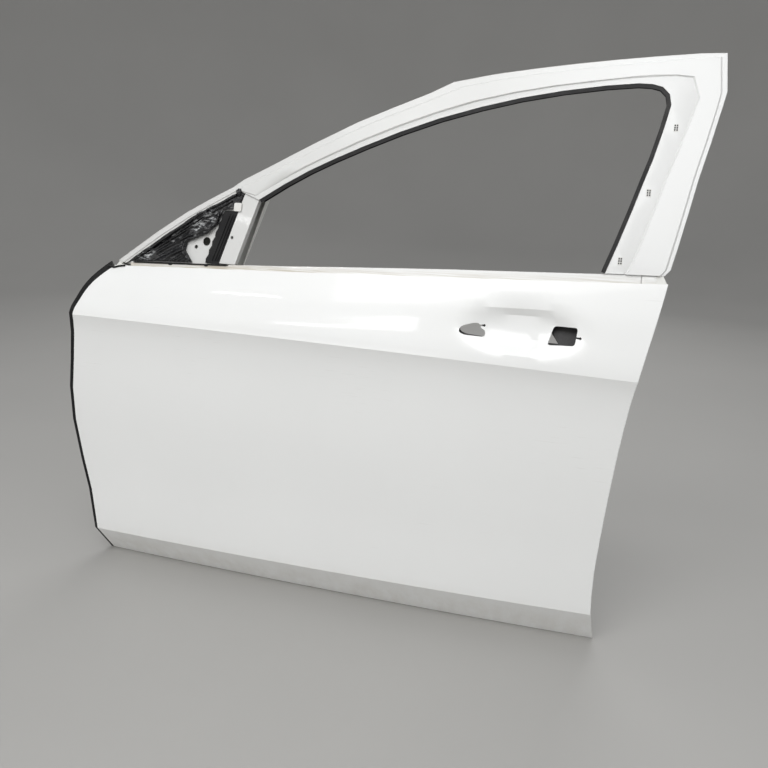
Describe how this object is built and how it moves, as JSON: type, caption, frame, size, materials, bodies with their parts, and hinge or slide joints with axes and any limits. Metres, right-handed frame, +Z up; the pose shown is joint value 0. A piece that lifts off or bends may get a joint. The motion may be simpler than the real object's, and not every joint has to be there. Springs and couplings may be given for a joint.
{
  "type": "car door shell",
  "caption": "Left front door shell of a saloon: white skin with handle cut-outs, leaning window frame, mirror triangle, seals and the steel pressings inside.",
  "frame": {"origin": "middle of the upper hinge pad, on the door's front face where the hinge bolts on", "axes": "as in the car: +X to the rear along the door, -Y outboard, +Z up"},
  "size_m": [1.1753, 0.2123, 1.0255],
  "materials": {
    "skin_paint": "gloss white paint",
    "frame_paint": "gloss white paint, slightly soiled",
    "inner_paint": "satin white paint",
    "white_clip": "matte white plastic",
    "black_foam": "closed-cell black foam",
    "black_rubber": "matte black rubber",
    "black_plastic": "matte black plastic",
    "primed_steel": "grey primer",
    "mastic": "soft grey mastic",
    "damping": "dark bitumen sheet"
  },
  "bodies": {
    "root": {"beam_front_bracket": "primed_steel", "beam_rear_bracket": "primed_steel", "blanking_plug_front": "black_rubber", "blanking_plug_rear": "black_rubber", "check_strap_plate": "primed_steel", "damping_pad": "damping", "division_post": "frame_paint", "front_edge_seal": "black_rubber", "front_glass_guide": "primed_steel", "glass_run_seal": "black_rubber", "handle_carrier": "black_plastic", "hinge_reinforcement": "primed_steel", "inner_panel": "inner_paint", "inner_waist_rail": "inner_paint", "latch_reinforcement": "primed_steel", "lower_hinge_nut_plate": "primed_steel", "mastic_bead_front": "mastic", "mastic_bead_middle": "mastic", "mastic_bead_rear": "mastic", "mirror_clip": "white_clip", "mirror_edge_gasket": "black_rubber", "mirror_foam_seal": "black_foam", "mirror_mount_plate": "frame_paint", "outer_skin": "skin_paint", "outer_waist_rail": "inner_paint", "rear_glass_guide": "primed_steel", "side_impact_beam": "primed_steel", "upper_hinge_nut_plate": "primed_steel", "window_frame_outer": "frame_paint"}
  },
  "joints": []
}
